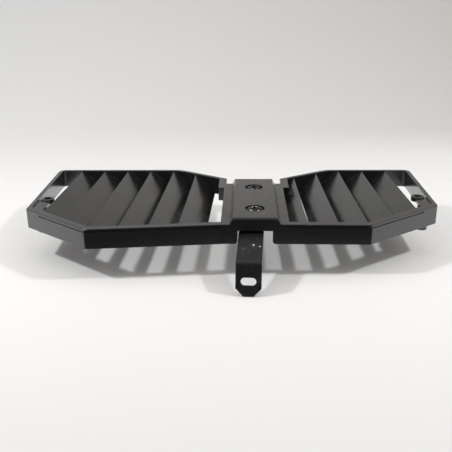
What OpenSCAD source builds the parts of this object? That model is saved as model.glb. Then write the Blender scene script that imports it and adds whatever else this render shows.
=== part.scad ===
// Motorcycle radiator guard: two slatted wings joined by a raised bridge, with a bolted bracket.
// Millimetres, +Z up, +X to the right wing and +Y to the back edge. The origin is the middle of the
// slot in the bracket's leg. Inside the modules, lengths start from the front edge of the bridge,
// midway across it and level with the bottom of the wings; from_slot() moves them to the origin.

/* [Frame] */
// Height of the wing walls
frame_h = 17; // [14:0.5:22]
// Thickness of the wing walls
wall_t = 4; // [3:0.25:6]
// Width of the rim on top of the front walls
rim_w = 7; // [5:0.5:9]
// Thickness of that rim
rim_t = 3.5; // [2.5:0.5:6]
// Depth of the wings from front edge to back edge
wing_depth = 168.5; // [150:0.5:190]
// Radius of the wing corners at the front and the outer tips
front_r = 3; // [1:0.5:6]
// Radius of the outer back corners
back_r = 7; // [5:0.5:14]
// Radius where the back edge turns into the waist
waist_r = 22; // [8:1:30]
// Radius of the corners next to the bridge
root_r = 1.2; // [0.6:0.1:2]
// Height of the shadow groove round the walls
groove_h = 1.1; // [0.6:0.1:1.6]
// Depth of the shadow groove
groove_d = 0.8; // [0.4:0.1:1.2]
// Distance from the top of the wall down to the groove
groove_drop = 1.7; // [1:0.1:3]

/* [Left wing] */
// Distance of the front corner from the bridge centre
left_front_x = 137.5; // [120:0.5:145]
// How far that corner comes forward of the front edge
left_flare = 12.5; // [0:0.5:16]
// Distance of the outer tip from the bridge centre
left_tip_x = 200.5; // [190:0.5:206]
// Distance of the outer tip behind the front edge
left_tip_y = 38; // [34:0.5:46]
// Distance of the back corner from the bridge centre
left_back_x = 205.5; // [198:0.5:215]
// Number of slats
left_slats = 6; // [3:1:6]
// Turn of the slats towards the bridge at the back, in degrees
left_slat_lean = 1.3; // [0:0.1:1.8]

/* [Right wing] */
// Distance of the front corner from the bridge centre
right_front_x = 94.5; // [85:0.5:100]
// How far that corner comes forward of the front edge
right_flare = 1; // [0:0.5:10]
// Distance of the outer tip from the bridge centre
right_tip_x = 161; // [155:0.5:163]
// Distance of the outer tip behind the front edge
right_tip_y = 50; // [46:0.5:56]
// Distance of the back corner from the bridge centre
right_back_x = 163.5; // [158:0.5:168]
// Number of slats
right_slats = 5; // [3:1:5]
// Turn of the slats towards the bridge at the back, in degrees
right_slat_lean = 1.3; // [0:0.1:1.8]

/* [Waist] */
// Distance from the bridge centre at which the back edge starts to fall to the waist
waist_x = 76; // [60:1:82]
// Distance of the waist corner behind the front edge
waist_y = 134.5; // [128:0.5:142]
// Distance of the waist corner from the bridge centre
neck_x = 26.5; // [25:0.5:28]
// Width of the corner blocks inside the waist
block_w = 7.5; // [5:0.5:9]
// Length of the corner blocks in front of the waist corner
block_len = 31; // [22:1:36]
// Height of the underside of the corner blocks
block_z = 4; // [0:0.5:8]

/* [Slats] */
// Spacing of the slats
slat_pitch = 24.3; // [22:0.1:25]
// Distance from the bridge centre to the first top edge of the left wing
left_first_x = 63; // [58:0.5:65]
// Distance from the bridge centre to the first top edge of the right wing
right_first_x = 44.2; // [40:0.2:46]
// Distance that a slat slopes across
slat_run = 21; // [16:0.5:23]
// Thickness of a slat
slat_t = 2.2; // [1.5:0.1:3]
// Drop of the slats' top edges below the rim
slat_drop = 0.6; // [0.2:0.1:2]
// Blunt edge at the foot of a slat
slat_edge = 1.2; // [0.8:0.1:2]

/* [Bridge] */
// Length of the bridge from front to back
bridge_len = 117; // [110:0.5:122]
// Width of the raised plate on top
plate_w = 36; // [32:0.5:38]
// Width across the feet of the plate's side ramps
ramp_w = 42; // [40:0.5:44]
// Width across the two side strips
strip_w = 56.5; // [54:0.5:60]
// Height of the plate above the wings
plate_rise = 5.6; // [4:0.2:8]
// Thickness of the raised plate
plate_t = 4.5; // [3.5:0.25:6]
// Thickness of the ramps and the strips
strip_t = 3.5; // [2.5:0.25:5]
// Slope of the plate's back edge, measured along the bridge
back_slope = 2.5; // [1:0.5:6]
// Radius of the plate's front edge
plate_edge_r = 2; // [0.6:0.2:3]
// Height of the opening in the front wall for the bracket
cutout_h = 11.2; // [10.5:0.1:12.5]
// Width of that opening
cutout_w = 29; // [26:0.5:32]
// Radius of the lower corners of that opening
cutout_r = 2.4; // [1:0.2:4]

/* [Bracket] */
// Width of the bracket strip
bracket_w = 20.5; // [16:0.5:22]
// Thickness of the bracket strip
bracket_t = 2.5; // [2:0.25:3]
// Sideways offset of the strip from the bridge centre
bracket_shift = 1.6; // [0:0.2:2]
// Turn of the strip about the front screw, in degrees, with its leg towards the left wing
bracket_turn = 3.5; // [0:0.5:4]
// Where the flat run ends and the strip drops, behind the front edge
joggle_y = 15; // [13:0.5:16]
// Where the drop ends, behind the front edge
lower_y = 4; // [3:0.5:6]
// Gap between the strip and the top of the opening, where the drop ends
strip_gap = 0.9; // [0.5:0.1:1.6]
// Reach of the strip in front of the front edge
bracket_reach = 34; // [25:1:40]
// Height of the strip's upper face at the bend of the leg
bend_z = -2.2; // [-4:0.2:2]
// Tilt of the leg from upright, in degrees
leg_tilt = 15; // [0:1:25]
// Length of the leg
leg_len = 26.3; // [24:0.1:34]
// Outer radius of the bend into the leg
bend_r = 4; // [3:0.5:6]
// Length of the straight cuts across the leg's lower corners, measured along the edges
leg_cut = 6; // [3:0.5:7]
// Width of the slot in the leg
slot_w = 6.2; // [5:0.2:8]
// Length of the slot in the leg
slot_len = 12.2; // [11:0.2:14]
// Distance from the leg's lower end to the slot's centre
slot_up = 11.5; // [10.5:0.5:14]
// Length of the strip behind the rear screw
bracket_tail = 9; // [7:0.5:12]

/* [Fasteners] */
// Distance of the front screw behind the front edge
screw_front_y = 25.5; // [24:0.5:28]
// Spacing of the two screws
screw_gap = 61.5; // [50:0.5:70]
// Thread diameter of the screws
screw_d = 6; // [5:1:6]
// Play of the screw shanks in their holes, on the diameter
hole_play = 0.6; // [0.3:0.1:1]
// Diameter of the screw heads
head_d = 13.4; // [11:0.2:14]
// Height of the screw heads
head_h = 3.3; // [2.5:0.1:4]
// Height of the flange under a screw head
head_rim_h = 0.9; // [0.6:0.1:1.2]
// Size of the hexagon socket across flats
socket_af = 4; // [3:0.5:5]
// Depth of the hexagon socket
socket_depth = 2; // [1.5:0.1:2.2]
// Diameter of the recess round a screw head
recess_d = 16.6; // [15:0.2:18]
// Depth of the recess
recess_depth = 2.2; // [1.5:0.1:2.5]
// Size of the nuts across flats
nut_af = 10; // [8:0.5:10]
// Height of the nuts
nut_h = 6; // [4:0.5:6]
// Diameter of the nuts' flange
nut_flange_d = 14; // [12:0.5:14]
// Height of the nuts' flange
nut_flange_h = 1.2; // [0.8:0.1:1.5]
// Length of thread that shows past a nut
thread_end = 1.2; // [0.6:0.1:2]

/* [End mounts] */
// Diameter of the foot bosses at the outer tips
boss_d = 10; // [9:0.5:12]
// How far the foot bosses reach below the walls
boss_drop = 7; // [3:0.5:8]
// Distance of a foot boss from the outer face of the end wall
boss_in = 11.2; // [10.5:0.1:13]
// Distance of the left foot boss behind the front edge
left_foot_y = 48; // [46:0.5:54]
// Distance of the right foot boss behind the front edge
right_foot_y = 56; // [56:0.5:62]
// Bore of the foot bosses
boss_bore_d = 5.4; // [4:0.2:6]
// Depth of that bore
boss_bore_depth = 14; // [8:1:15]
// Drop of the corner shelves below the rim
shelf_drop = 1.2; // [0.8:0.2:3]
// Thickness of the corner shelves
shelf_t = 3; // [2:0.2:4]
// Distance of a shelf's inner edge from the outer face of the end wall
shelf_in = 14.6; // [14:0.1:17]
// Distance of the left shelf's hole behind the front edge
left_shelf_y = 69; // [64:0.5:76]
// Distance of the right shelf's hole behind the front edge
right_shelf_y = 77; // [72:0.5:84]
// Distance of a shelf's hole from the outer face of the end wall
shelf_hole_in = 11.5; // [10.5:0.5:12.5]
// Diameter of the shelf hole
shelf_hole_d = 6.6; // [5:0.2:7]
// Diameter of the raised ring round the shelf hole
ring_d = 12; // [10:0.5:13]
// Height of that ring above the shelf
ring_h = 1.2; // [0.8:0.2:1.4]

/* [Hidden] */
$fn = 48;
arc_steps = 7;
over = 1;
sink = 0.6 * wall_t;
root_x = strip_w / 2 - wall_t;
plate_top = frame_h + plate_rise;
plate_under = plate_top - plate_t;
seat_z = plate_top - recess_depth;
screw_rear_y = screw_front_y + screw_gap;
hole_d = screw_d + hole_play;
strip_under = plate_under - bracket_t;
screw_len = seat_z - strip_under + nut_h + thread_end;
shelf_top = frame_h - shelf_drop;
shelf_z = shelf_top - shelf_t;
lower_z = cutout_h - strip_gap;
moulded = [0.16, 0.16, 0.165];
coated = [0.1, 0.1, 0.105];
zinc = [0.3, 0.3, 0.31];

// Small plane geometry: unit vector, inward normal of an anticlockwise edge, crossing of two lines
function unit(v) = v / norm(v);
function inward(a, b) = let (d = unit(b - a)) [-d[1], d[0]];
function meet(p, d, q, e) = p + d * cross(q - p, e) / cross(d, e);

// Corners of an anticlockwise outline whose edge i, which starts at corner i, moves inwards by ts[i]
function inset_each(pts, ts) = let (n = len(pts)) [for (i = [0:n - 1])
    let (a = pts[(i + n - 1) % n], b = pts[i], c = pts[(i + 1) % n])
    meet(b + ts[(i + n - 1) % n] * inward(a, b), b - a, b + ts[i] * inward(b, c), c - b)];
function inset(pts, t) = inset_each(pts, [for (p = pts) t]);

// Outline with each corner i rounded to radius radii[i]
function rounded(pts, radii) = let (n = len(pts)) [for (i = [0:n - 1])
    let (a = pts[(i + n - 1) % n], b = pts[i], c = pts[(i + 1) % n],
        u = unit(a - b), w = unit(c - b), half = acos(u * w) / 2,
        reach = radii[i] / tan(half), mid = b + unit(u + w) * radii[i] / sin(half),
        start = b + u * reach - mid, sweep = (180 - 2 * half) * sign(cross(c - b, a - b)))
    for (k = [0:arc_steps]) let (g = sweep * k / arc_steps)
        mid + [start[0] * cos(g) - start[1] * sin(g), start[0] * sin(g) + start[1] * cos(g)]];

// Plan of a wing as if it lay on the +X side, anticlockwise from the front corner at the bridge
function wing_plan(front_x, flare, tip_x, tip_y, back_x) = [[root_x, 0], [front_x, -flare],
    [tip_x, tip_y], [back_x, wing_depth], [waist_x, wing_depth], [neck_x, waist_y],
    [neck_x, bridge_len], [root_x, bridge_len]];
corner_radii = [root_r, front_r, front_r, back_r, waist_r, root_r, root_r, root_r];

// Plan of the open window, front_t inside the two front walls and wall_t inside the others;
// its inner side follows the strip
function window_plan(plan, front_t) = inset_each([plan[0], plan[1], plan[2], plan[3], plan[4],
    meet(plan[4], plan[5] - plan[4], plan[0], [0, 1])],
    [front_t, front_t, wall_t, wall_t, wall_t, wall_t]);
window_radii = [root_r, root_r, root_r, back_r - wall_t, waist_r + wall_t, root_r];

module outline(plan, t = 0) {
    polygon(rounded(inset(plan, t), [for (r = corner_radii) max(r - t, 0.3)]));
}

module slat() {
    top = frame_h - slat_drop;
    fall = top - slat_edge;
    under = slat_t * norm([slat_run, fall]) / slat_run;
    foot = slat_run * (top - under) / fall;
    rotate([90, 0, 0]) translate([0, 0, -wing_depth]) linear_extrude(wing_depth + left_flare)
        polygon([[0, top], [0, top - under], [-foot, 0], [-slat_run, 0], [-slat_run, slat_edge]]);
}

module slats(plan, first_x, count, lean) {
    intersection() {
        translate([0, 0, -over]) linear_extrude(frame_h + over) outline(plan, wall_t - sink);
        for (i = [0:count - 1]) translate([first_x + i * slat_pitch, 0, 0]) rotate([0, 0, lean]) slat();
    }
}

// Frame of one wing: outer wall with its shadow groove, window and slats
module wing(plan, first_x, count, lean) {
    difference() {
        linear_extrude(frame_h) outline(plan);
        translate([0, 0, -over]) linear_extrude(frame_h - rim_t + over)
            polygon(rounded(window_plan(plan, wall_t), window_radii));
        translate([0, 0, frame_h - rim_t - over]) linear_extrude(rim_t + 2 * over)
            polygon(rounded(window_plan(plan, rim_w), window_radii));
        translate([0, 0, frame_h - groove_drop - groove_h]) linear_extrude(groove_h) difference() {
            translate([root_x, -wing_depth]) square([2 * left_back_x, 3 * wing_depth]);
            outline(plan, groove_d);
            square([strip_w / 2, bridge_len + over]);
        }
    }
    slats(plan, first_x, count, lean);
    translate([0, 0, block_z]) linear_extrude(frame_h - block_z) intersection() {
        outline(plan);
        translate([neck_x, waist_y - block_len]) square([block_w, block_len + wall_t]);
    }
}

// Point of a wing at a distance y behind the front edge and a distance in inside the end wall's outer face
function by_end(plan, y, in) = let (tip = plan[2], back = plan[3])
    [tip[0] + (y - tip[1]) * (back[0] - tip[0]) / (back[1] - tip[1]) - in, y];

// Foot boss under the outer tip, and the shelf with its ringed hole behind it
module end_mount(plan, foot_y, shelf_y) {
    translate(by_end(plan, foot_y, boss_in)) translate([0, 0, -boss_drop])
        cylinder(d = boss_d, h = shelf_z + shelf_t / 2 + boss_drop);
    translate(by_end(plan, shelf_y, shelf_hole_in)) translate([0, 0, shelf_z])
        cylinder(d = ring_d, h = shelf_t + ring_h);
    translate([0, 0, shelf_z]) linear_extrude(shelf_t) intersection() {
        outline(plan);
        polygon([by_end(plan, 0, shelf_in), by_end(plan, 0, -over), by_end(plan, shelf_y, -over),
            by_end(plan, shelf_y, shelf_in)]);
    }
}

// Bore of the foot boss and hole of the shelf
module end_holes(plan, foot_y, shelf_y) {
    translate(by_end(plan, foot_y, boss_in)) translate([0, 0, -boss_drop - over])
        cylinder(d = boss_bore_d, h = boss_bore_depth + over);
    translate(by_end(plan, shelf_y, shelf_hole_in)) translate([0, 0, shelf_z - over])
        cylinder(d = shelf_hole_d, h = shelf_t + ring_h + 2 * over);
}

// Section across the bridge: outside, and the channel below it
half_strip = strip_w / 2;
half_ramp = ramp_w / 2;
half_plate = plate_w / 2;
bridge_section = [[-half_strip, 0], [half_strip, 0], [half_strip, frame_h], [half_ramp, frame_h],
    [half_plate, plate_top], [-half_plate, plate_top], [-half_ramp, frame_h], [-half_strip, frame_h]];
channel_section = [[root_x, -over], [root_x, frame_h - strip_t], [half_ramp - strip_t, frame_h - strip_t],
    [half_plate - strip_t, plate_under], [strip_t - half_plate, plate_under],
    [strip_t - half_ramp, frame_h - strip_t], [-root_x, frame_h - strip_t], [-root_x, -over]];

// Extrudes a section of the bridge from a distance behind the front edge back to another
module along_bridge(from_y, to_y) {
    rotate([90, 0, 0]) translate([0, 0, -to_y]) linear_extrude(to_y - from_y) children();
}

// Raised plate, side ramps, strips and front wall between the wings
module bridge() {
    intersection() {
        difference() {
            along_bridge(0, bridge_len) polygon(bridge_section);
            along_bridge(wall_t, bridge_len + over) polygon(channel_section);
            along_bridge(-over, wall_t + over) bracket_opening();
        }
        rotate([90, 0, 90]) translate([0, 0, -half_strip]) linear_extrude(strip_w)
            polygon(rounded([[0, 0], [bridge_len, 0], [bridge_len, frame_h],
                [bridge_len - back_slope, plate_top], [0, plate_top]], [0.1, 0.1, 0.1, 1, plate_edge_r]));
    }
}

// Opening in the front wall, with rounded lower corners
module bracket_opening() {
    half = cutout_w / 2;
    translate([-half, -over]) square([cutout_w, cutout_h + over]);
    for (side = [-1, 1]) difference() {
        translate([side * (half + cutout_r / 2), cutout_r / 2 - over / 2])
            square([cutout_r, cutout_r + over], center = true);
        translate([side * (half + cutout_r), cutout_r]) circle(r = cutout_r);
    }
}

left_plan = wing_plan(left_front_x, left_flare, left_tip_x, left_tip_y, left_back_x);
right_plan = wing_plan(right_front_x, right_flare, right_tip_x, right_tip_y, right_back_x);

module screw_places() {
    for (y = [screw_front_y, screw_rear_y]) translate([0, y, 0]) children();
}

module guard() color(moulded) {
    difference() {
        union() {
            wing(right_plan, right_first_x, right_slats, right_slat_lean);
            mirror([1, 0, 0]) wing(left_plan, left_first_x, left_slats, left_slat_lean);
            bridge();
            end_mount(right_plan, right_foot_y, right_shelf_y);
            mirror([1, 0, 0]) end_mount(left_plan, left_foot_y, left_shelf_y);
        }
        end_holes(right_plan, right_foot_y, right_shelf_y);
        mirror([1, 0, 0]) end_holes(left_plan, left_foot_y, left_shelf_y);
        screw_places() translate([0, 0, seat_z]) cylinder(d = recess_d, h = recess_depth + over);
        screw_places() translate([0, 0, plate_under - over]) cylinder(d = hole_d, h = plate_t + over);
    }
}

// Side view of the strip, as [y, z] corners of its upper face from the tail to the leg's lower end
leg_end = [-bracket_reach - leg_len * sin(leg_tilt), bend_z - leg_len * cos(leg_tilt)];
strip_line = [[screw_rear_y + bracket_tail, plate_under], [joggle_y, plate_under], [lower_y, lower_z],
    [-bracket_reach, bend_z], leg_end];

// Corners of the strip's under face, the strip's thickness below and behind the upper face
function strip_side(line, t) = let (n = len(line)) [for (i = [0:n - 1])
    let (a = line[max(i - 1, 0)], b = line[i], c = line[min(i + 1, n - 1)])
    i == 0 ? b + t * inward(b, c) : i == n - 1 ? b + t * inward(a, b) :
    meet(b + t * inward(a, b), b - a, b + t * inward(b, c), c - b)];

module strip_shape() {
    under = strip_side(strip_line, bracket_t);
    last = len(strip_line) - 1;
    outer = concat(strip_line, [for (i = [last:-1:0]) under[i]]);
    inner_r = bend_r - bracket_t;
    polygon(rounded(outer, [0.1, inner_r, bend_r, bend_r, 0.1, 0.1, inner_r, inner_r, bend_r, 0.1]));
}

// Frame of the leg: origin at its lower end on the front face, +Y up the leg, +Z out of the face
module on_leg() {
    translate([0, leg_end[0], leg_end[1]]) rotate([90 - leg_tilt, 0, 0]) children();
}

module centre_bracket() color(coated) {
    straight = (slot_len - slot_w) / 2;
    half = bracket_w / 2;
    difference() {
        translate([0, screw_front_y, 0]) rotate([0, 0, -bracket_turn])
            translate([-bracket_shift, -screw_front_y, 0]) difference() {
                rotate([90, 0, 90]) translate([0, 0, -half]) linear_extrude(bracket_w) strip_shape();
                on_leg() translate([0, slot_up, -bracket_t - over]) linear_extrude(bracket_t + 2 * over) {
                    square([2 * straight, slot_w], center = true);
                    for (side = [-1, 1]) translate([side * straight, 0]) circle(d = slot_w);
                }
                on_leg() for (side = [-1, 1]) translate([0, 0, -bracket_t - over])
                    linear_extrude(bracket_t + 2 * over) polygon([[side * (half - leg_cut - over), -over],
                        [side * (half + over), -over], [side * (half + over), leg_cut + over]]);
            }
        screw_places() translate([0, 0, strip_under - over]) cylinder(d = hole_d, h = bracket_t + 2 * over);
    }
}

// Flanged button screw with a hexagon socket, seated in the plate's recess
module bridge_screw(y) color(zinc) translate([0, y, 0]) difference() {
    union() {
        translate([0, 0, seat_z - screw_len]) cylinder(d = screw_d, h = screw_len + over);
        translate([0, 0, seat_z]) cylinder(d = head_d, h = head_rim_h);
        translate([0, 0, seat_z]) intersection() {
            cylinder(d = head_d - 2 * head_rim_h, h = head_h);
            translate([0, 0, head_h - head_d]) sphere(r = head_d, $fn = 64);
        }
    }
    translate([0, 0, seat_z + head_h - socket_depth])
        cylinder(d = socket_af / cos(30), h = socket_depth + over, $fn = 6);
}

module bridge_nut(y) color(zinc) translate([0, y, strip_under - nut_h]) difference() {
    union() {
        cylinder(d = nut_af / cos(30), h = nut_h, $fn = 6);
        translate([0, 0, nut_h - nut_flange_h]) cylinder(d = nut_flange_d, h = nut_flange_h);
    }
    translate([0, 0, -over]) cylinder(d = screw_d, h = nut_h + 2 * over);
}

// Middle of the slot on the leg's front face, before and after the strip's turn
slot_side = [leg_end[0] + slot_up * sin(leg_tilt), leg_end[1] + slot_up * cos(leg_tilt)];
slot_arm = slot_side[0] - screw_front_y;
slot_place = [slot_arm * sin(bracket_turn) - bracket_shift * cos(bracket_turn),
    screw_front_y + bracket_shift * sin(bracket_turn) + slot_arm * cos(bracket_turn), slot_side[1]];

module from_slot() translate(-slot_place) children();

from_slot() guard();
from_slot() centre_bracket();
from_slot() bridge_screw(screw_front_y);  // bridge_screw_front
from_slot() bridge_screw(screw_rear_y);  // bridge_screw_rear
from_slot() bridge_nut(screw_front_y);  // bridge_nut_front
from_slot() bridge_nut(screw_rear_y);  // bridge_nut_rear
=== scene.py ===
"""Looks of a moulded motorcycle radiator guard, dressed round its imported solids.

Each sub-assembly is a class: the moulded guard and its bent metal bracket are softened copies of their
solids, and Geometry Nodes set the screws and nuts that hold the two together. The studio holds the floor,
the lamps and the camera. Lengths are in metres.
"""
from __future__ import annotations

import logging
import math
from dataclasses import dataclass, field
from enum import Enum

import bmesh
import bpy
from mathutils import Matrix, Vector
from mathutils.bvhtree import BVHTree

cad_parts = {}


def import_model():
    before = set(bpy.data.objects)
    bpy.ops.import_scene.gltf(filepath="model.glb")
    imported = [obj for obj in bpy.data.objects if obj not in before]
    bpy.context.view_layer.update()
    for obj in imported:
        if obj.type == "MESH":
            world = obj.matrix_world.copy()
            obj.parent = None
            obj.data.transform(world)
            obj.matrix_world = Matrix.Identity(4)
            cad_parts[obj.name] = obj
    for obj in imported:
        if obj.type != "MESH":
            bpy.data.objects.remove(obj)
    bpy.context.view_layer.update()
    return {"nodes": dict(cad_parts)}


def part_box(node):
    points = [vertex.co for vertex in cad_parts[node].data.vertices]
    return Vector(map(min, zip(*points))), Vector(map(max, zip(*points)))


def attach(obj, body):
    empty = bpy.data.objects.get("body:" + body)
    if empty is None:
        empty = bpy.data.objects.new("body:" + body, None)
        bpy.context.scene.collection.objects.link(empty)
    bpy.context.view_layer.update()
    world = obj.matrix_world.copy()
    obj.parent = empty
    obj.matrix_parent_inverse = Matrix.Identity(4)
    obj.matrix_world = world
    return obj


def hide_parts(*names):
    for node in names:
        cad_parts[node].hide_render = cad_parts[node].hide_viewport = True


LOG = logging.getLogger("radiator_guard")
MM = 0.001
BODY = "root"
EDGE_MARK = "edge_mark"
PHOTO_SIDE_PX = 452
UNSTRETCHED = (1.0, 1.0, 1.0)

Point = tuple[float, float, float]
Spot = tuple[Point, float]


class Slot(Enum):
    """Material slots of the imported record."""

    MOULDED = "moulded_black"
    COATED = "coated_black"
    ZINC = "black_zinc"


class Value:
    """A shader socket that takes part in Python arithmetic."""

    def __init__(self, shader: Shader, socket: bpy.types.NodeSocket | None) -> None:
        """Wraps one output socket.

        Args:
            shader: The material that the socket belongs to.
            socket: The output socket of a node, or None for a node that has no output.
        """
        self.shader = shader
        self.socket = socket

    def _join(self, operation: str, first: Value | float, second: Value | float) -> Value:
        """Adds one Math node for an operation on two values."""
        return self.shader.add("ShaderNodeMath", {"operation": operation}, {0: first, 1: second})

    def __add__(self, other: Value | float) -> Value:
        """Sum of two values."""
        return self._join("ADD", self, other)

    __radd__ = __add__

    def __sub__(self, other: Value | float) -> Value:
        """Difference of two values."""
        return self._join("SUBTRACT", self, other)

    def __rsub__(self, other: Value | float) -> Value:
        """Difference with the value on the right."""
        return self._join("SUBTRACT", other, self)

    def __mul__(self, other: Value | float) -> Value:
        """Product of two values."""
        return self._join("MULTIPLY", self, other)

    __rmul__ = __mul__


@dataclass
class Shader:
    """One material and the short calls that fill its node tree."""

    name: str
    material: bpy.types.Material = field(init=False)

    def __post_init__(self) -> None:
        """Starts an empty node tree."""
        self.material = bpy.data.materials.new(self.name)
        self.material.use_nodes = True
        self.material.node_tree.nodes.clear()

    def add(self, kind: str, settings: dict[str, object] | None = None,
            inputs: dict[int | str, object] | None = None, output: int | str = 0) -> Value:
        """Adds a node and returns one of its outputs.

        Args:
            kind: The node's type.
            settings: Properties that are set before the sockets; "stops" fills a colour ramp.
            inputs: Values or links by socket index or name.
            output: The output socket that the returned value wraps.

        Returns:
            The chosen output, ready for arithmetic.
        """
        node = self.material.node_tree.nodes.new(kind)
        for key, setting in (settings or {}).items():
            if key == "stops":
                self._fill_ramp(node, setting)
            else:
                setattr(node, key, setting)
        for key, entry in (inputs or {}).items():
            if isinstance(entry, Value):
                self.material.node_tree.links.new(entry.socket, node.inputs[key])
            else:
                node.inputs[key].default_value = entry
        return Value(self, node.outputs[output] if len(node.outputs) else None)

    @staticmethod
    def _fill_ramp(node: bpy.types.Node, stops: list[tuple[float, float]]) -> None:
        """Sets a ramp's stops as places and grey levels."""
        ramp = node.color_ramp
        while len(ramp.elements) < len(stops):
            ramp.elements.new(0.5)
        for element, (place, level) in zip(ramp.elements, stops):
            element.position = place
            element.color = (level, level, level, 1.0)

    def ramp(self, value: Value, *stops: tuple[float, float]) -> Value:
        """Maps a value through grey stops."""
        return self.add("ShaderNodeValToRGB", {"stops": list(stops)}, {"Fac": value})

    def place(self, stretch: Point = UNSTRETCHED, turn_deg: float = 0.0) -> Value:
        """Coordinates on the object, if wanted stretched and turned about the upright."""
        here = self.add("ShaderNodeTexCoord", output="Object")
        if stretch == UNSTRETCHED and not turn_deg:
            return here
        return self.add("ShaderNodeMapping", None, {"Vector": here, "Scale": stretch,
                                                    "Rotation": (0.0, 0.0, math.radians(turn_deg))})

    def axis(self, name: str) -> Value:
        """One coordinate on the object, by its letter."""
        return self.add("ShaderNodeSeparateXYZ", None, {0: self.place()}, "XYZ".index(name))

    def vector(self, operation: str, *vectors: object, output: int | str = 0) -> Value:
        """Adds one Vector Math node for an operation on one vector or two."""
        return self.add("ShaderNodeVectorMath", {"operation": operation}, dict(enumerate(vectors)), output)

    def near(self, spot: Point, reach: float, full: float = 0.35) -> Value:
        """Fades from 1 round a spot to 0 at its reach.

        Args:
            spot: The spot, in millimetres.
            reach: Distance from the spot at which nothing is left, in metres.
            full: Share of the reach within which the value stays 1.

        Returns:
            The value from 0 to 1.
        """
        away = self.vector("DISTANCE", self.place(), tuple(c * MM for c in spot), output="Value")
        return self.ramp(away * (1.0 / reach), (full, 1.0), (1.0, 0.0))

    def beside(self, spot: Point, way: Point, reach: float, full: float = 0.6) -> Value:
        """Fades from 1 along a line to 0 at its reach.

        Args:
            spot: A spot on the line, in millimetres.
            way: Direction of the line, of length 1.
            reach: Distance from the line at which nothing is left, in metres.
            full: Share of the reach within which the value stays 1.

        Returns:
            The value from 0 to 1.
        """
        lead = self.vector("SUBTRACT", self.place(), tuple(c * MM for c in spot))
        away = self.vector("LENGTH", self.vector("CROSS_PRODUCT", lead, way), output="Value")
        return self.ramp(away * (1.0 / reach), (full, 1.0), (1.0, 0.0))

    def upward(self) -> Value:
        """How far a face looks up: 1 on top, 0 on upright faces and undersides."""
        normal = self.add("ShaderNodeNewGeometry", output="Normal")
        return self.add("ShaderNodeSeparateXYZ", None, {0: normal}, "XYZ".index("Z"))

    def noise(self, size: float, detail: float = 3.0, roughness: float = 0.55, warp: float = 0.0,
              over: Value | None = None) -> Value:
        """Noise whose lumps are about the given size.

        Args:
            size: Size of a lump, in metres.
            detail: Number of finer layers.
            roughness: Weight of the finer layers.
            warp: Distortion of the noise.
            over: Coordinates that the noise is laid over, where they aren't the plain ones.

        Returns:
            The noise value from 0 to 1.
        """
        sockets = {"Vector": over or self.place(), "Scale": 1.0 / size, "Detail": detail,
                   "Roughness": roughness, "Distortion": warp}
        return self.add("ShaderNodeTexNoise", {"noise_dimensions": "3D"}, sockets, "Fac")

    def mix(self, factor: Value | float, first: object, second: object) -> Value:
        """Mixes two colours by a factor."""
        return self.add("ShaderNodeMix", {"data_type": "RGBA"}, {0: factor, 6: first, 7: second}, 2)

    def attribute(self, name: str) -> Value:
        """Reads a named value of the mesh."""
        return self.add("ShaderNodeAttribute", {"attribute_name": name}, output="Fac")

    def bump(self, height: Value, depth: float, under: Value | None = None) -> Value:
        """Raises the surface by a height map.

        Args:
            height: Height from 0 to 1.
            depth: Real height of 1, in metres.
            under: A normal that this one is laid over.

        Returns:
            The bent normal.
        """
        sockets: dict[int | str, object] = {"Height": height, "Distance": depth, "Strength": 1.0}
        if under is not None:
            sockets["Normal"] = under
        return self.add("ShaderNodeBump", None, sockets, "Normal")

    def surface(self, sockets: dict[int | str, object]) -> bpy.types.Material:
        """Ends the tree in a Principled surface with the given sockets."""
        finish = self.add("ShaderNodeBsdfPrincipled", None, sockets)
        self.add("ShaderNodeOutputMaterial", None, {"Surface": finish})
        return self.material


def grey(level: float, warmth: float = 0.0) -> tuple[float, float, float, float]:
    """A grey of the given level, a little warmer or cooler."""
    return (level * (1 + warmth), level, level * (1 - warmth), 1.0)


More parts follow.
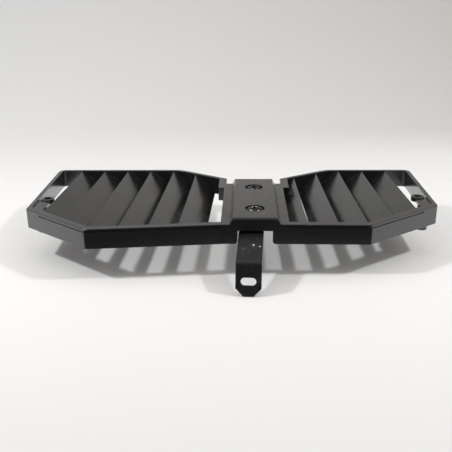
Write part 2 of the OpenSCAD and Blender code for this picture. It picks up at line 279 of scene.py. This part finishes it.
@dataclass(frozen=True)
class MouldedPlastic:
    """Satin black moulded plastic with flow marks, fine scratches, dust and pale rubbed edges, and a pale
    line and two pale spots on some edges that are wear marks and painted highlights.
    """

    base: float = 0.009
    dust: float = 0.035
    dust_share: float = 0.45
    rubbed: float = 0.2
    rubbed_share: float = 0.14
    wear_and_glint_level: float = 0.5
    gloss: float = 0.2
    index: float = 1.6
    cloud_size: float = 34 * MM
    film_size: float = 5 * MM
    rub_size: float = 6 * MM
    spot_break_size: float = 1.6 * MM
    flow_size: float = 30 * MM
    flow_depth: float = 0.03 * MM
    grain_size: float = 0.18 * MM
    grain_depth: float = 0.0006 * MM
    scratch_turns_deg: tuple[float, float] = (24.0, -61.0)
    scratch_stretch: Point = (1.0, 0.05, 1.0)
    scratch_gap: float = 2.2 * MM
    scratch_patch: float = 18 * MM
    # Places of the pale spots and the pale line, which are wear marks and painted highlights.
    wear_and_glint_spots: tuple[Spot, ...] = (((-131.1, 26.6, 33.5), 2.2 * MM), ((125.4, 59.2, 33.5), 2.0 * MM))
    wear_and_highlight_line: tuple[Point, Point] = ((48.8, 75.8, 32.9), (0.0227, -0.9997, 0.0))
    line_reach: float = 42 * MM
    line_width: float = 0.75 * MM
    line_break_size: float = 3 * MM

    def make(self) -> bpy.types.Material:
        """Builds the material."""
        s = Shader("moulded_plastic")
        cloud = s.ramp(s.noise(self.cloud_size, 4.0), (0.42, 0.0), (0.72, 1.0))
        film = s.ramp(s.noise(self.film_size, 5.0, 0.6), (0.45, 0.0), (0.75, 1.0))
        top = s.ramp(s.upward(), (0.5, 0.0), (0.95, 1.0))
        dusty = cloud * film * top * self.dust_share
        colour = s.mix(dusty, grey(self.base, 0.06), grey(self.dust, 0.08))
        edge = s.attribute(EDGE_MARK)
        rub = edge * s.ramp(s.noise(self.rub_size, 4.0), (0.52, 0.0), (0.75, 1.0))
        colour = s.mix(rub * self.rubbed_share, colour, grey(self.rubbed, 0.02))
        # Two pale spots on edges: wear marks and painted highlights.
        for spot, reach in self.wear_and_glint_spots:
            spot_wear_and_glint = s.near(spot, reach) * edge * s.ramp(s.noise(self.spot_break_size), (0.3, 0.3), (0.5, 1.0))
            colour = s.mix(spot_wear_and_glint, colour, grey(self.wear_and_glint_level, 0.02))
        # A pale line along the first right slat's edge: a wear mark and a painted highlight.
        line = s.near(self.wear_and_highlight_line[0], self.line_reach) * s.beside(*self.wear_and_highlight_line, self.line_width)
        line_wear_and_highlight = line * s.ramp(s.noise(self.line_break_size), (0.3, 0.3), (0.55, 1.0))
        colour = s.mix(line_wear_and_highlight, colour, grey(self.wear_and_glint_level, 0.02))
        one_way, other_way = (self._scratches(s, turn_deg) for turn_deg in self.scratch_turns_deg)
        roughness = self.gloss + 0.06 * cloud + 0.04 * film + 0.1 * (one_way + other_way)
        flow = s.bump(s.noise(self.flow_size, 1.0), self.flow_depth)
        grain = s.bump(s.noise(self.grain_size, 2.0, 0.5), self.grain_depth, flow)
        return s.surface({"Base Color": colour, "Roughness": roughness, "Normal": grain,
                          "IOR": self.index})

    def _scratches(self, s: Shader, turn_deg: float) -> Value:
        """Sparse hair-thin marks that run one way."""
        line = s.noise(self.scratch_gap, 2.0, 0.5, 0.0, s.place(self.scratch_stretch, turn_deg))
        patch = s.ramp(s.noise(self.scratch_patch, 2.0), (0.5, 0.0), (0.7, 1.0))
        return patch * s.ramp(line, (0.6, 0.0), (0.63, 1.0), (0.66, 0.0))


@dataclass(frozen=True)
class CoatedSteel:
    """Black coated steel, scuffed on its flat faces and rubbed along its edges, with two pale spots on its
    bend that are wear marks and painted glints.
    """

    base: float = 0.008
    scuffed: float = 0.1
    scuffed_share: float = 0.8
    rubbed: float = 0.2
    rubbed_share: float = 0.45
    wear_and_glint_level: float = 0.55
    gloss: float = 0.33
    index: float = 1.4
    scuff_size: float = 2.6 * MM
    patch_size: float = 14 * MM
    rub_size: float = 4 * MM
    peel_size: float = 0.8 * MM
    peel_depth: float = 0.006 * MM
    wave_size: float = 9 * MM
    wave_depth: float = 0.03 * MM
    # Places of the two pale spots on the bend, which are wear marks and painted glints.
    wear_and_glint_spots: tuple[Spot, ...] = (((4.1, 24.2, 21.1), 1.2 * MM), ((9.2, 22.3, 20.5), 1.0 * MM))
    scuff_spots: tuple[Spot, ...] = (
        ((6.5, 23.0, 20.8), 7.0 * MM), ((-2.7, 16.2, 18.3), 6.0 * MM), ((3.0, 1.0, 2.0), 10.0 * MM))

    def make(self) -> bpy.types.Material:
        """Builds the material."""
        s = Shader("coated_steel")
        marks = s.ramp(s.noise(self.scuff_size, 6.0, 0.7, 0.8), (0.53, 0.0), (0.68, 1.0))
        patches = s.ramp(s.noise(self.patch_size, 2.0), (0.5, 0.0), (0.64, 1.0)) * 0.5
        for spot, reach in self.scuff_spots:
            patches = patches + s.near(spot, reach) * 0.8
        scuffs = marks * patches
        colour = s.mix(scuffs * self.scuffed_share, grey(self.base), grey(self.scuffed, 0.08))
        edge = s.attribute(EDGE_MARK)
        rub = edge * s.ramp(s.noise(self.rub_size, 4.0), (0.5, 0.0), (0.72, 1.0))
        colour = s.mix(rub * self.rubbed_share, colour, grey(self.rubbed, 0.03))
        # Two pale spots on the bend: wear marks and painted glints.
        for spot, reach in self.wear_and_glint_spots:
            colour = s.mix(s.near(spot, reach), colour, grey(self.wear_and_glint_level, 0.02))
        wave = s.bump(s.noise(self.wave_size, 1.0), self.wave_depth)
        peel = s.bump(s.noise(self.peel_size, 2.0), self.peel_depth, wave)
        return s.surface({"Base Color": colour, "Roughness": self.gloss + 0.2 * scuffs, "Normal": peel,
                          "IOR": self.index})


@dataclass(frozen=True)
class DarkZinc:
    """Dark plated steel of the screws and nuts."""

    base: float = 0.018
    bright: float = 0.75
    bright_share: float = 0.7
    gloss: float = 0.26
    metallic: float = 0.85
    blotch_size: float = 2.4 * MM
    rub_size: float = 1.8 * MM
    pit_size: float = 0.4 * MM
    pit_depth: float = 0.006 * MM

    def make(self) -> bpy.types.Material:
        """Builds the material."""
        s = Shader("dark_zinc")
        blotch = s.ramp(s.noise(self.blotch_size, 4.0), (0.35, 0.0), (0.7, 1.0))
        colour = s.mix(blotch, grey(self.base), grey(self.base * 2.0, 0.02))
        rub = s.attribute(EDGE_MARK) * s.ramp(s.noise(self.rub_size), (0.45, 0.0), (0.65, 1.0))
        colour = s.mix(rub * self.bright_share, colour, grey(self.bright, 0.01))
        pits = s.bump(s.noise(self.pit_size), self.pit_depth)
        return s.surface({"Base Color": colour, "Roughness": self.gloss + 0.16 * blotch,
                          "Metallic": self.metallic, "Normal": pits})


def dress(piece: bpy.types.Object, slot: Slot, *nodes: str) -> None:
    """Attaches a finished piece to its body and hides the solids that it stands for."""
    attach(piece, BODY)
    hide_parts(*nodes)
    LOG.info("%s: %d faces", piece.name, len(piece.data.polygons))


@dataclass
class Softened:
    """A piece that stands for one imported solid, with its edges rounded.

    Attributes:
        node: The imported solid's name.
        name: The piece's name.
        slot: The slot of its finish.
        edge: Size of the rounded edges.
        sharp_deg: Turn between two faces above which their edge is rounded.
        flat_deg: Turn below which loose triangles merge into one face.
        smooth_deg: Turn below which two faces shade as one.
        rounds: Number of faces across a rounded edge.
        weld: Distance within which loose corners merge.
        stray: How far a corner may leave the solid, in edge sizes.
        clear: How close a troubled place may be to a rounded edge, in edge sizes.
        folded: Cosine between a face and the solid below which the face has folded over.
        speck: Area below which a folded face doesn't matter.
        tries: How often edges near troubled places are left sharp before the result is taken as it is.
    """

    node: str
    name: str
    slot: Slot
    edge: float
    sharp_deg: float = 28.0
    flat_deg: float = 0.5
    smooth_deg: float = 19.0
    rounds: int = 2
    weld: float = 0.002 * MM
    stray: float = 1.2
    clear: float = 1.6
    folded: float = -0.3
    speck: float = 0.02 * MM * MM
    tries: int = 7

    def build(self, source: bpy.types.Object, material: bpy.types.Material) -> bpy.types.Object:
        """Copies the solid, rounds its edges and dresses it.

        Args:
            source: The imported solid.
            material: The finish.

        Returns:
            The finished piece, riding with the body.
        """
        mesh = source.data.copy()
        troubled: set[Point] = set()
        for tries_left in reversed(range(self.tries + 1)):
            work = bmesh.new()
            work.from_mesh(mesh)
            found = self._round_edges(work, troubled)
            if not found or not tries_left:
                break
            troubled |= found
            work.free()
        LOG.info("%s: edges stay sharp near %d places", self.name, len(troubled))
        work.to_mesh(mesh)
        work.free()
        mesh.shade_smooth()
        mesh.set_sharp_from_angle(angle=math.radians(self.smooth_deg))
        mesh.materials.clear()
        mesh.materials.append(material)
        piece = bpy.data.objects.new(self.name, mesh)
        bpy.context.scene.collection.objects.link(piece)
        self._flatten_shading(mesh)
        dress(piece, self.slot, self.node)
        return piece

    def _round_edges(self, work: bmesh.types.BMesh, troubled: set[Point]) -> set[Point]:
        """Merges loose triangles into whole faces, rounds the sharp edges and marks the new faces.

        Args:
            work: The solid's faces, which are changed.
            troubled: Places where no edge is rounded.

        Returns:
            Places where the rounding left the solid or folded over.
        """
        bmesh.ops.remove_doubles(work, verts=work.verts, dist=self.weld)
        solid = BVHTree.FromBMesh(work)
        bmesh.ops.dissolve_limit(work, angle_limit=math.radians(self.flat_deg), verts=work.verts,
                                 edges=work.edges)
        spots = [Vector(place) for place in troubled]
        sharp = [edge for edge in work.edges
                 if len(edge.link_faces) == 2 and edge.calc_face_angle(0.0) > math.radians(self.sharp_deg)
                 and not any(self._touches(edge, spot) for spot in spots)]
        mark = work.faces.layers.float.new(EDGE_MARK)
        made = bmesh.ops.bevel(work, geom=sharp, offset=self.edge, offset_type="OFFSET",
                               segments=self.rounds, profile=0.5, affect="EDGES", clamp_overlap=False,
                               miter_outer="ARC")
        for face in made["faces"]:
            face[mark] = 1.0
        found: set[Point] = set()
        for vertex in work.verts:
            on_solid, _, _, away = solid.find_nearest(vertex.co)
            if away > self.stray * self.edge:
                found |= {tuple(other.co) for edge in vertex.link_edges for other in edge.verts}
                vertex.co = on_solid
        bmesh.ops.triangulate(work, faces=[face for face in work.faces if len(face.verts) > 4])
        for face in work.faces:
            normal = solid.find_nearest(face.calc_center_median())[1]
            if face.calc_area() > self.speck and face.normal.dot(normal) < self.folded:
                found |= {tuple(vertex.co) for vertex in face.verts}
        return found

    def _touches(self, edge: bmesh.types.BMEdge, spot: Vector) -> bool:
        """True if an edge passes close by a place."""
        low, high = (vertex.co for vertex in edge.verts)
        along = (high - low).length_squared
        share = min(max((spot - low).dot(high - low) / along, 0.0), 1.0) if along else 0.0
        return (low + (high - low) * share - spot).length < self.clear * self.edge

    def _flatten_shading(self, mesh: bpy.types.Mesh) -> None:
        """Gives each corner the mean normal of the like faces round it, so that flat faces shade flat."""
        like = math.cos(math.radians(self.smooth_deg))
        around: list[list[bpy.types.MeshPolygon]] = [[] for _ in mesh.vertices]
        for face in mesh.polygons:
            for number in face.vertices:
                around[number].append(face)
        normals = [Vector()] * len(mesh.loops)
        for face in mesh.polygons:
            own = face.normal.copy()
            for corner, number in zip(face.loop_indices, face.vertices):
                total = Vector()
                for other in around[number]:
                    if other.normal.dot(own) > like:
                        total += other.normal * other.area
                normals[corner] = total.normalized() if total.length > 0.0 else own
        mesh.normals_split_custom_set(normals)


@dataclass
class Turned:
    """A closed shell of rings about an upright axis, some of which follow a hexagon."""

    segments: int = 48
    sharp_deg: float = 34.0
    rings: list[list[tuple[float, float]]] = field(default_factory=list)
    marked: list[int] = field(default_factory=list)

    def ring(self, radius: float, height: float, flats: float = 0.0, marked: bool = False) -> None:
        """Adds a ring at one height.

        Args:
            radius: Its radius, or what it has more than the hexagon.
            height: Its height.
            flats: Size of the hexagon across its flats, or 0 for a round ring.
            marked: True if the band that ends in this ring is an edge that rubs.
        """
        outline = self.hexagon(flats) if flats else [0.0] * self.segments
        self.keep([(radius + more, height) for more in outline], marked)

    def keep(self, ring: list[tuple[float, float]], marked: bool = False) -> None:
        """Takes a ring of radii and heights as it is."""
        if marked:
            self.marked.append(len(self.rings))
        self.rings.append(ring)

    def hexagon(self, flats: float) -> list[float]:
        """Distances from the middle of a hexagon to its outline, all the way round."""
        sixth = math.tau / 6
        turns = (math.tau * i / self.segments for i in range(self.segments))
        return [flats / 2 / math.cos((turn + sixth / 2) % sixth - sixth / 2) for turn in turns]

    def mesh(self, name: str, first_tip: float | None, last_tip: float | None) -> bpy.types.Mesh:
        """Joins the rings and closes the ends with a point each, or with each other where there is none.

        Args:
            name: Name of the mesh.
            first_tip: Height of the point that closes the first ring.
            last_tip: Height of the point that closes the last ring.

        Returns:
            The shell, with its faces outwards.
        """
        work = bmesh.new()
        mark = work.faces.layers.float.new(EDGE_MARK)
        loops = []
        for ring in self.rings:
            loops.append([work.verts.new((r * math.cos(math.tau * i / self.segments),
                                          r * math.sin(math.tau * i / self.segments), z))
                          for i, (r, z) in enumerate(ring)])
        bands = list(zip(loops, loops[1:]))
        if first_tip is None:
            bands.append((loops[-1], loops[0]))
        for number, (low, high) in enumerate(bands):
            for i in range(self.segments):
                j = (i + 1) % self.segments
                face = work.faces.new((low[i], low[j], high[j], high[i]))
                face[mark] = float(number + 1 in self.marked)
        for loop, tip in ((loops[0], first_tip), (loops[-1], last_tip)):
            if tip is not None:
                point = work.verts.new((0.0, 0.0, tip))
                for i in range(self.segments):
                    work.faces.new((loop[i], loop[(i + 1) % self.segments], point))
        bmesh.ops.recalc_face_normals(work, faces=work.faces)
        mesh = bpy.data.meshes.new(name)
        work.to_mesh(mesh)
        work.free()
        mesh.shade_smooth()
        mesh.set_sharp_from_angle(angle=math.radians(self.sharp_deg))
        return mesh


class Tree:
    """A Geometry Nodes tree that sets one shape, with a thread if it has one, at the bridge's two screws."""

    def __init__(self, name: str) -> None:
        """Starts the tree with its named sizes."""
        self.group = bpy.data.node_groups.new(name, "GeometryNodeTree")
        face = self.group.interface
        face.new_socket("Shape", in_out="INPUT", socket_type="NodeSocketGeometry")
        for size in ("Thread radius", "Thread rise", "Thread turns", "Thread thickness", "Spacing"):
            face.new_socket(size, in_out="INPUT", socket_type="NodeSocketFloat")
        for spot in ("Thread start", "Front"):
            face.new_socket(spot, in_out="INPUT", socket_type="NodeSocketVector")
        face.new_socket("Finish", in_out="INPUT", socket_type="NodeSocketMaterial")
        face.new_socket("Shape", in_out="OUTPUT", socket_type="NodeSocketGeometry")
        self.inside = self.group.nodes.new("NodeGroupInput").outputs

    def node(self, kind: str, inputs: dict[int | str, object]) -> bpy.types.NodeSocket | None:
        """Adds a node and returns its first output, if it has one.

        Args:
            kind: The node's type.
            inputs: Values or links by socket index or name, or a list of links for one socket.

        Returns:
            The node's first output.
        """
        node = self.group.nodes.new(kind)
        for key, entry in inputs.items():
            for one in entry if isinstance(entry, list) else [entry]:
                if isinstance(one, bpy.types.NodeSocket):
                    self.group.links.new(one, node.inputs[key])
                else:
                    node.inputs[key].default_value = one
        return node.outputs[0] if len(node.outputs) else None

    def fill(self, threaded: bool) -> None:
        """Lays out the tree, with or without the thread."""
        ends = self.inside
        shape = ends["Shape"]
        if threaded:
            spiral = self.node("GeometryNodeCurveSpiral", {
                "Resolution": 24, "Rotations": ends["Thread turns"], "Start Radius": ends["Thread radius"],
                "End Radius": ends["Thread radius"], "Height": ends["Thread rise"]})
            ridge = self.node("GeometryNodeCurvePrimitiveCircle", {
                "Resolution": 3, "Radius": ends["Thread thickness"]})
            thread = self.node("GeometryNodeCurveToMesh", {
                "Curve": spiral, "Profile Curve": ridge, "Fill Caps": True})
            thread = self.node("GeometryNodeTransform", {
                "Geometry": thread, "Translation": ends["Thread start"]})
            shape = self.node("GeometryNodeJoinGeometry", {"Geometry": [shape, thread]})
        step = self.node("ShaderNodeCombineXYZ", {"Y": ends["Spacing"]})
        line = self.node("GeometryNodeMeshLine", {
            "Count": 2, "Start Location": ends["Front"], "Offset": step})
        placed = self.node("GeometryNodeInstanceOnPoints", {"Points": line, "Instance": shape})
        whole = self.node("GeometryNodeRealizeInstances", {"Geometry": placed})
        finished = self.node("GeometryNodeSetMaterial", {"Geometry": whole, "Material": ends["Finish"]})
        self.node("NodeGroupOutput", {0: finished})

    def bake(self, name: str, shape: bpy.types.Mesh, sizes: dict[str, object]) -> bpy.types.Object:
        """Runs the tree on a shape and returns the result as a plain mesh object.

        Args:
            name: Name of the new object.
            shape: The mesh that the tree repeats.
            sizes: Values of the tree's named inputs.

        Returns:
            The new object, without a modifier.
        """
        carrier = bpy.data.objects.new(name + "_shape", shape)
        bpy.context.scene.collection.objects.link(carrier)
        modifier = carrier.modifiers.new("set", "NODES")
        modifier.node_group = self.group
        keys = {item.name: item.identifier for item in self.group.interface.items_tree
                if item.in_out == "INPUT"}
        for key, size in sizes.items():
            modifier[keys[key]] = size
        evaluated = carrier.evaluated_get(bpy.context.evaluated_depsgraph_get())
        made = bpy.data.meshes.new_from_object(evaluated)
        bpy.data.objects.remove(carrier)
        made.name = name
        piece = bpy.data.objects.new(name, made)
        bpy.context.scene.collection.objects.link(piece)
        return piece


@dataclass
class Fasteners:
    """The bridge's two flanged button screws and the two flanged nuts under its strip."""

    thread_d: float = 6.0 * MM
    pitch: float = 1.0 * MM
    ridge: float = 0.42 * MM
    tip_h: float = 0.6 * MM
    threaded: float = 9.0 * MM
    head_d: float = 13.4 * MM
    head_h: float = 3.3 * MM
    rim_h: float = 0.9 * MM
    crown_radii: tuple[float, ...] = (3.2 * MM, 4.1 * MM, 5.0 * MM)
    socket: float = 4.0 * MM
    socket_depth: float = 2.0 * MM
    drill_depth: float = 0.5 * MM
    nut_flats: float = 10.0 * MM
    nut_face_r: float = 4.75 * MM
    nut_chamfer_deg: float = 30.0
    nut_flange_r: float = 7.0 * MM
    nut_flange_h: float = 1.2 * MM

    def build(self, material: bpy.types.Material) -> list[bpy.types.Object]:
        """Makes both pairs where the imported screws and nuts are.

        Args:
            material: The finish.

        Returns:
            The pair of screws and the pair of nuts.
        """
        made = []
        for kind, threaded, shape in (("screw", True, self._screw), ("nut", False, self._nut)):
            nodes = [f"bridge_{kind}_{place}" for place in ("front", "rear")]
            low, high = (Vector(corner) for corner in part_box(nodes[0]))
            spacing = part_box(nodes[1])[0][1] - low.y
            middle = (low + high) / 2
            tree = Tree(f"pair_of_{kind}s")
            tree.fill(threaded)
            sizes = {"Front": (middle.x, middle.y, low.z), "Spacing": spacing, "Finish": material}
            if threaded:
                sizes |= {"Thread radius": self.thread_d / 2 - self.ridge, "Thread rise": self.threaded,
                          "Thread turns": self.threaded / self.pitch, "Thread thickness": self.ridge,
                          "Thread start": (0.0, 0.0, self.tip_h)}
            piece = tree.bake(f"{kind}_pair", shape(high.z - low.z), sizes)
            dress(piece, Slot.ZINC, *nodes)
            made.append(piece)
        return made

    def _screw(self, tall: float) -> bpy.types.Mesh:
        """Turns one screw that stands on its tip."""
        seat, half, shank = tall - self.head_h, self.head_d / 2, self.thread_d / 2
        crown, rim, floor = half - self.rim_h, seat + self.rim_h, tall - self.socket_depth

        def dome(r: float) -> float:
            """Height of the crowned head at a radius."""
            return tall - self.head_d + math.sqrt(self.head_d ** 2 - r ** 2)

        body = Turned()
        body.ring(-0.05 * MM, floor, self.socket)
        body.ring(0.0, floor + 0.1 * MM, self.socket)
        body.ring(0.0, tall - 0.36 * MM, self.socket)
        body.ring(0.24 * MM, tall - 0.13 * MM, self.socket, marked=True)
        for r in (*self.crown_radii, crown - 0.35 * MM):
            body.ring(r, dome(r))
        body.ring(crown - 0.1 * MM, dome(crown) - 0.02 * MM, marked=True)
        body.ring(crown, dome(crown) - 0.22 * MM, marked=True)
        body.ring(crown, rim + 0.25 * MM)
        body.ring(crown + 0.22 * MM, rim)
        body.ring(half - 0.2 * MM, rim)
        body.ring(half, rim - 0.2 * MM, marked=True)
        body.ring(half, seat + 0.15 * MM)
        body.ring(half - 0.15 * MM, seat)
        body.ring(shank + 0.1 * MM, seat)
        body.ring(shank, seat - 0.15 * MM)
        body.ring(shank, self.threaded + self.tip_h)
        body.ring(shank - self.ridge, self.threaded + 0.2 * MM)
        body.ring(shank - self.ridge, self.tip_h)
        body.ring(shank - 2.0 * self.ridge, 0.0)
        return body.mesh("screw_body", floor - self.drill_depth, 0.0)

    def _nut(self, tall: float) -> bpy.types.Mesh:
        """Turns one nut whose flange is on top."""
        bore, flange, under = self.thread_d / 2, self.nut_flange_r, tall - self.nut_flange_h
        body = Turned()
        body.ring(bore, tall - 0.4 * MM)
        body.ring(bore, 0.5 * MM)
        body.ring(bore + 0.5 * MM, 0.0)
        body.ring(self.nut_face_r, 0.0)
        slope = math.tan(math.radians(self.nut_chamfer_deg))
        body.keep([(r, (r - self.nut_face_r) * slope) for r in body.hexagon(self.nut_flats)], marked=True)
        body.ring(0.0, under - 0.7 * MM, self.nut_flats)
        body.ring(0.25 * MM, under - 0.2 * MM, self.nut_flats)
        body.ring(flange - 0.25 * MM, under + 0.1 * MM)
        body.ring(flange, under + 0.35 * MM, marked=True)
        body.ring(flange, tall - 0.15 * MM)
        body.ring(flange - 0.15 * MM, tall)
        body.ring(bore + 0.4 * MM, tall)
        return body.mesh("nut_body", None, None)


@dataclass
class Studio:
    """Pale floor under the bracket's foot, lamps and the camera at the photograph's place."""

    floor_z: float = -11.8 * MM
    floor_half: float = 3.0
    floor_front: float = -2.5
    floor_middle: float = -0.5
    wall_foot: float = 0.62
    wall_curve: float = 0.4
    wall_top: float = 1.8
    curve_steps: int = 24
    camera_place: Point = (-2.608 * MM, -450.745 * MM, 212.772 * MM)
    pitch_deg: float = 20.28
    yaw_deg: float = 1.83
    roll_deg: float = -0.52
    focal_px: float = 640.0
    sensor: float = 36.0
    clip: tuple[float, float] = (0.01, 20.0)
    middle: Point = (-15 * MM, 100 * MM, 20 * MM)
    lamp_distance: float = 1.0
    lamp_size: tuple[float, float] = (0.09, 0.06)
    lamps: tuple[tuple[str, Point, float], ...] = (
        ("left_lamp", (-0.92, -0.26, 1.0), 4.15), ("right_lamp", (0.9, -0.18, 1.0), 3.45))
    room_reach: tuple[float, float] = (-0.8, 0.2)
    room_strength: tuple[float, float] = (0.26, 1.16)
    room_warmth: float = 0.015
    floor_level: float = 0.82
    # The near floor and backdrop levels are painted shade; the front level is a painted dark room that only
    # reflected and bounced rays see; the glow level is a painted brightening of the floor in reflections.
    near_shaded_level: float = 0.68
    wall_shaded_levels: tuple[float, float] = (0.87, 0.69)
    front_shade_level: float = 0.045
    reflection_glow_level: float = 0.45
    matt: float = 0.9

    def camera(self) -> None:
        """Places the camera."""
        data = bpy.data.cameras.new("camera")
        data.sensor_width = self.sensor
        data.lens = self.focal_px / PHOTO_SIDE_PX * self.sensor
        data.clip_start, data.clip_end = self.clip
        camera = bpy.data.objects.new("camera", data)
        pitch, yaw, roll = (math.radians(a) for a in (self.pitch_deg, self.yaw_deg, self.roll_deg))
        right = Vector((math.cos(yaw), math.sin(yaw), 0.0))
        ahead = Vector((-math.sin(yaw) * math.cos(pitch), math.cos(yaw) * math.cos(pitch),
                        -math.sin(pitch)))
        up = right.cross(ahead)
        tilted = right * math.cos(roll) + up * math.sin(roll)
        top = up * math.cos(roll) - right * math.sin(roll)
        turn = Matrix((tilted, top, -ahead)).transposed().to_4x4()
        camera.matrix_world = Matrix.Translation(self.camera_place) @ turn
        bpy.context.scene.collection.objects.link(camera)
        bpy.context.scene.camera = camera

    def stage(self) -> None:
        """Makes the floor that curves up into the backdrop."""
        foot, radius = self.wall_foot, self.wall_curve
        profile = [(self.floor_front, 0.0), (self.floor_middle, 0.0)]
        for i in range(self.curve_steps + 1):
            angle = math.radians(90) * i / self.curve_steps
            profile.append((foot + radius * math.sin(angle), radius - radius * math.cos(angle)))
        profile.append((foot + radius, self.wall_top))
        work = bmesh.new()
        rows = [[work.verts.new((x, y, z + self.floor_z)) for x in (-self.floor_half, self.floor_half)]
                for y, z in profile]
        for low, high in zip(rows, rows[1:]):
            work.faces.new((low[0], low[1], high[1], high[0]))
        mesh = bpy.data.meshes.new("floor")
        work.to_mesh(mesh)
        work.free()
        mesh.shade_smooth()
        floor = bpy.data.objects.new("floor", mesh)
        bpy.context.scene.collection.objects.link(floor)
        mesh.materials.append(self._paper())

    def _paper(self) -> bpy.types.Material:
        """White floor and a backdrop that is warmer on the right, both with painted shade: the floor darker
        towards the camera, the backdrop greyer and darker on the right. For reflected and bounced rays the
        front is painted dark, a painted dark room that the front walls mirror, and the rest of the floor
        glows, a painted brightening of its reflection.
        """
        s = Shader("pale_paper")
        # The backdrop's grey, lighter on the left and darker on the right, is painted shade.
        left_level, right_level = self.wall_shaded_levels
        across = s.ramp(s.axis("X") * 0.8 + 0.5, (0.1, 0.0), (0.9, 1.0))
        wall = s.mix(across, grey(left_level), grey(right_level, 0.03))
        behind = s.ramp(s.axis("Y"), (0.44, 0.0), (0.62, 1.0))
        # The floor is painted darker towards the camera: painted shade.
        far = s.ramp(s.axis("Y") + 0.5, (0.32, 0.0), (0.56, 1.0))
        floor = s.mix(far, grey(self.near_shaded_level, 0.012), grey(self.floor_level, 0.004))
        paper = s.mix(behind, floor, wall)
        # For all but camera rays the floor's front is painted dark: a painted dark room that the front walls
        # mirror.
        front = s.ramp(s.axis("Y") + 0.5, (0.46, 1.0), (0.52, 0.0))
        unseen = 1.0 - s.add("ShaderNodeLightPath", output="Is Camera Ray")
        glossy = s.add("ShaderNodeLightPath", output="Is Glossy Ray")
        # For reflected rays the floor glows: a painted brightening of its reflection.
        reflection_glow = glossy * (1.0 - front) * (1.0 - behind) * (1.0 - 0.2 * across)
        return s.surface({"Base Color": s.mix(front * unseen, paper, grey(self.front_shade_level)),
                          "Roughness": self.matt,
                          "Emission Color": s.mix(reflection_glow, grey(0.0), grey(self.reflection_glow_level)),
                          "Emission Strength": 1.0})

    def lamp(self, name: str, towards: Point, power: float) -> None:
        """Hangs a small lamp that looks at the guard.

        Args:
            name: Name of the lamp.
            towards: Direction from the guard to the lamp.
            power: Its power, in watts.
        """
        data = bpy.data.lights.new(name, "AREA")
        data.shape, data.energy = "RECTANGLE", power
        data.size, data.size_y = self.lamp_size
        lamp = bpy.data.objects.new(name, data)
        away = Vector(towards).normalized() * self.lamp_distance
        lamp.location = Vector(self.middle) + away
        lamp.rotation_euler = (-away).to_track_quat("-Z", "Y").to_euler()
        bpy.context.scene.collection.objects.link(lamp)

    def lights(self) -> None:
        """Hangs the lamps and sets the room's soft light, which is darker behind the camera."""
        for name, towards, power in self.lamps:
            self.lamp(name, towards, power)
        world = bpy.data.worlds.new("room")
        world.use_nodes = True
        nodes, links = world.node_tree.nodes, world.node_tree.links
        where = nodes.new("ShaderNodeTexCoord")
        split = nodes.new("ShaderNodeSeparateXYZ")
        ramp = nodes.new("ShaderNodeMapRange")
        links.new(where.outputs["Generated"], split.inputs[0])
        links.new(split.outputs["Y"], ramp.inputs["Value"])
        ramp.inputs["From Min"].default_value, ramp.inputs["From Max"].default_value = self.room_reach
        ramp.inputs["To Min"].default_value, ramp.inputs["To Max"].default_value = self.room_strength
        links.new(ramp.outputs[0], nodes["Background"].inputs["Strength"])
        nodes["Background"].inputs["Color"].default_value = grey(1.0, self.room_warmth)
        bpy.context.scene.world = world
        bpy.context.scene.view_settings.view_transform = "Standard"


def main() -> None:
    """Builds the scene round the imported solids."""
    logging.basicConfig(level=logging.INFO, format="%(message)s")
    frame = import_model()
    studio = Studio()
    studio.camera()
    studio.stage()
    studio.lights()
    guard = Softened("guard", "guard_moulding", Slot.MOULDED, 0.35 * MM)
    guard.build(frame["nodes"][guard.node], MouldedPlastic().make())
    strip = Softened("centre_bracket", "bracket_strip", Slot.COATED, 0.3 * MM)
    strip.build(frame["nodes"][strip.node], CoatedSteel().make())
    Fasteners().build(DarkZinc().make())


if __name__ == "__main__":
    main()
